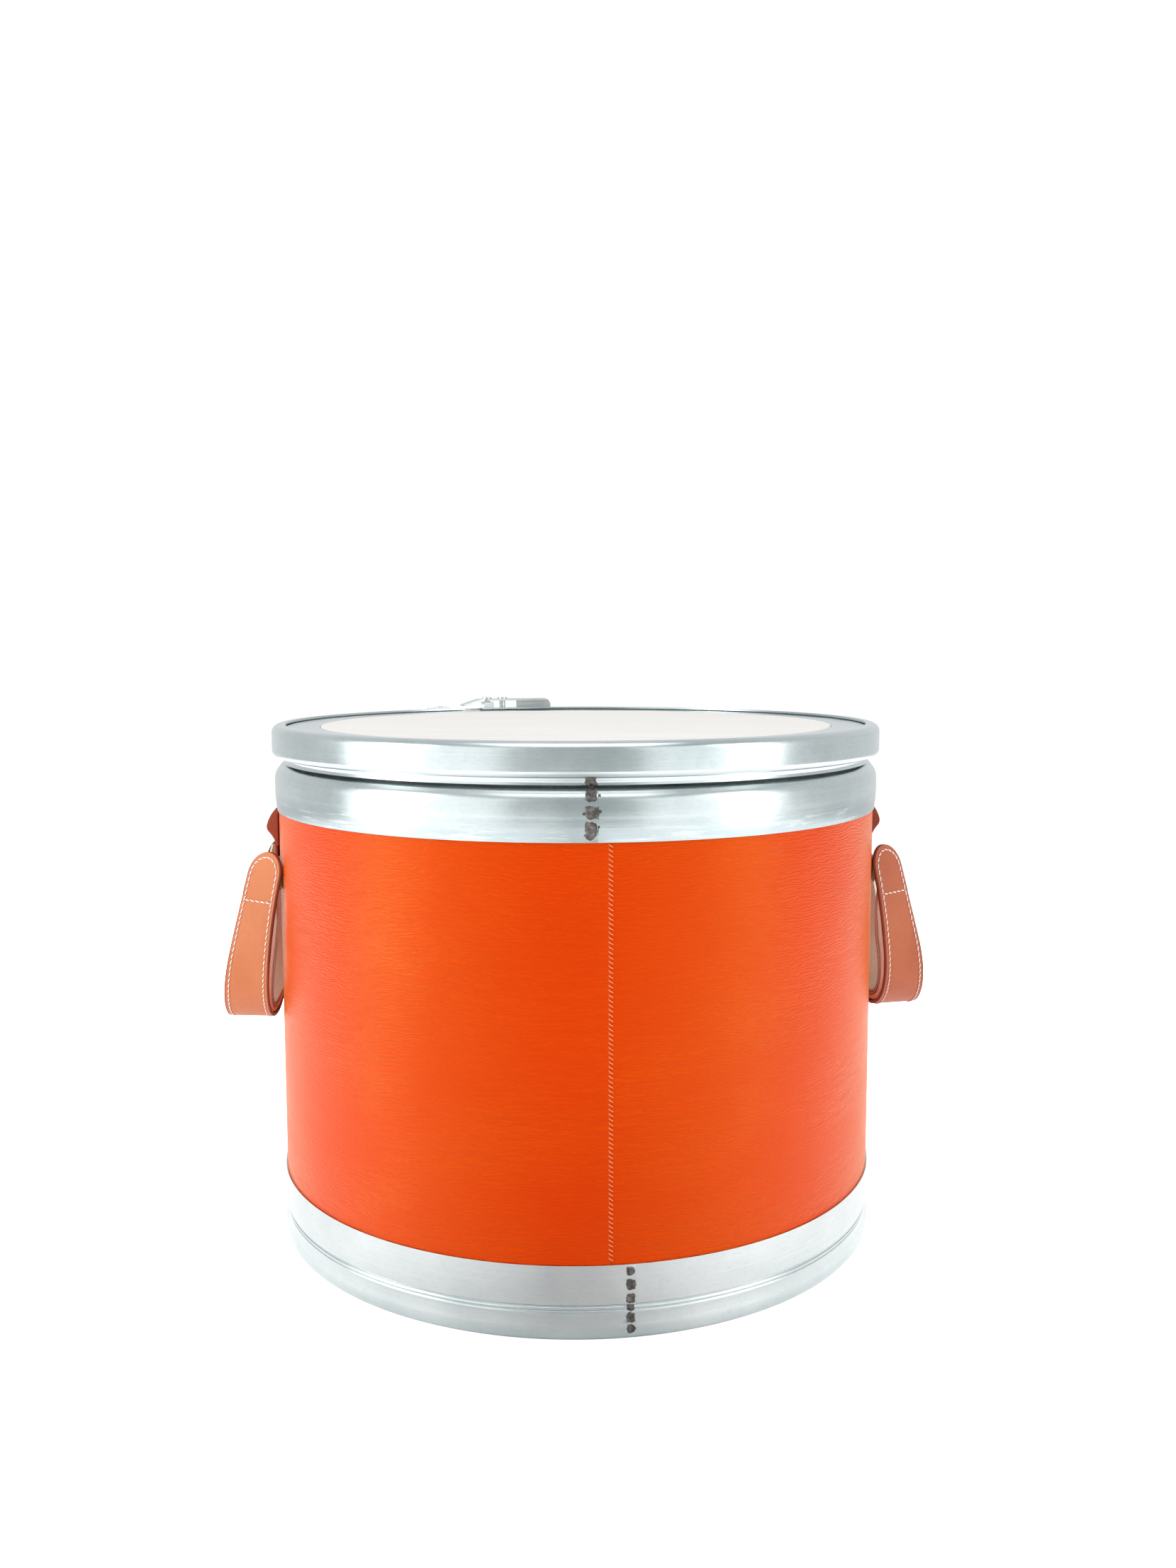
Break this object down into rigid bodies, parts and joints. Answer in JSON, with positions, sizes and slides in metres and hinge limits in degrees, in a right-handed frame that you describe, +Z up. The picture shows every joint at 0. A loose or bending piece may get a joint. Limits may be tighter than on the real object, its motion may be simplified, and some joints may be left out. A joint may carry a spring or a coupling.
{
  "type": "leather-clad fibre drum",
  "caption": "Leather-clad fibre storage drum with steel chimes, a wood-inlaid lid under a lever-lock ring, and stitched strap handles at each side.",
  "frame": {"origin": "Centre of the foot circle, on the plane the drum stands on.", "axes": "+Z up along the drum's axis. +X towards the right handle. +Y away from the leather seam, towards the lever side."},
  "size_m": [0.4762, 0.4207, 0.3469],
  "materials": {
    "fibreboard": "matt kraft fibreboard",
    "orange_leather": "grained satin leather",
    "seam_stitching": "waxed thread",
    "galvanised_steel": "galvanised, softly reflective",
    "weld_metal": "heat-tinted weld spots",
    "bright_steel": "zinc plated",
    "gasket_rubber": "matt rubber",
    "pale_wood": "pale lacquered wood",
    "dark_leather": "dark red-brown leather",
    "tan_leather": "smooth vegetable-tanned leather",
    "cotton_webbing": "herringbone weave",
    "white_thread": "waxed saddle thread"
  },
  "bodies": {
    "drum": {"fibre_shell": "fibreboard", "leather_wrap": "orange_leather", "seam_thread": "seam_stitching", "top_chime": "galvanised_steel", "top_chime_welds": "weld_metal", "bottom_chime": "galvanised_steel", "bottom_chime_welds": "weld_metal", "bottom_board": "fibreboard", "right_keeper_tab": "dark_leather", "right_keeper_plate": "bright_steel", "right_keeper_rivets": "bright_steel", "right_hinge_rod": "bright_steel", "left_keeper_tab": "dark_leather", "left_keeper_plate": "bright_steel", "left_keeper_rivets": "bright_steel", "left_hinge_rod": "bright_steel"},
    "lid": {"lid_pan": "galvanised_steel", "lid_gasket": "gasket_rubber", "lid_wood_disc": "pale_wood", "lid_disc_screws": "bright_steel"},
    "ring": {"closing_ring": "galvanised_steel", "lever_bracket": "bright_steel", "hook_bracket": "bright_steel", "lever_pivot_rivets": "bright_steel"},
    "lever": {"lever": "galvanised_steel", "link_pin": "bright_steel"},
    "link": {"lever_link": "bright_steel", "hook_pin": "bright_steel"},
    "right_handle": {"right_handle_hanger": "dark_leather", "right_handle_webbing": "cotton_webbing", "right_handle_strap": "tan_leather", "right_handle_thread": "white_thread"},
    "left_handle": {"left_handle_hanger": "dark_leather", "left_handle_webbing": "cotton_webbing", "left_handle_strap": "tan_leather", "left_handle_thread": "white_thread"}
  },
  "joints": [
    {"name": "lid_lift", "type": "slide", "parent": "drum", "child": "lid", "axis": [0, 0, 1], "range_m": [0, 0.15]},
    {"name": "ring_lift", "type": "slide", "parent": "lid", "child": "ring", "axis": [0, 0, 1], "range_m": [0, 0.15]},
    {"name": "lever_hinge", "type": "hinge", "parent": "ring", "child": "lever", "pos_m": [-0.07389, 0.19764, 0.33], "axis": [0, 0, 1], "range_deg": [0, 130]},
    {"name": "link_hinge", "type": "hinge", "parent": "lever", "child": "link", "pos_m": [-0.06134, 0.20252, 0.33], "axis": [0, 0, 1], "range_deg": [-130, 0]},
    {"name": "right_handle_swing", "type": "hinge", "parent": "drum", "child": "right_handle", "pos_m": [0.2038, 0.01282, 0.27], "axis": [0.0628, -0.998, 0], "range_deg": [0, 110]},
    {"name": "left_handle_swing", "type": "hinge", "parent": "drum", "child": "left_handle", "pos_m": [-0.2038, -0.01282, 0.27], "axis": [-0.0628, 0.998, 0], "range_deg": [0, 110]}
  ],
  "couplings": [
    {"joint": "link_hinge", "follows": "lever_hinge", "ratio": -1}
  ]
}
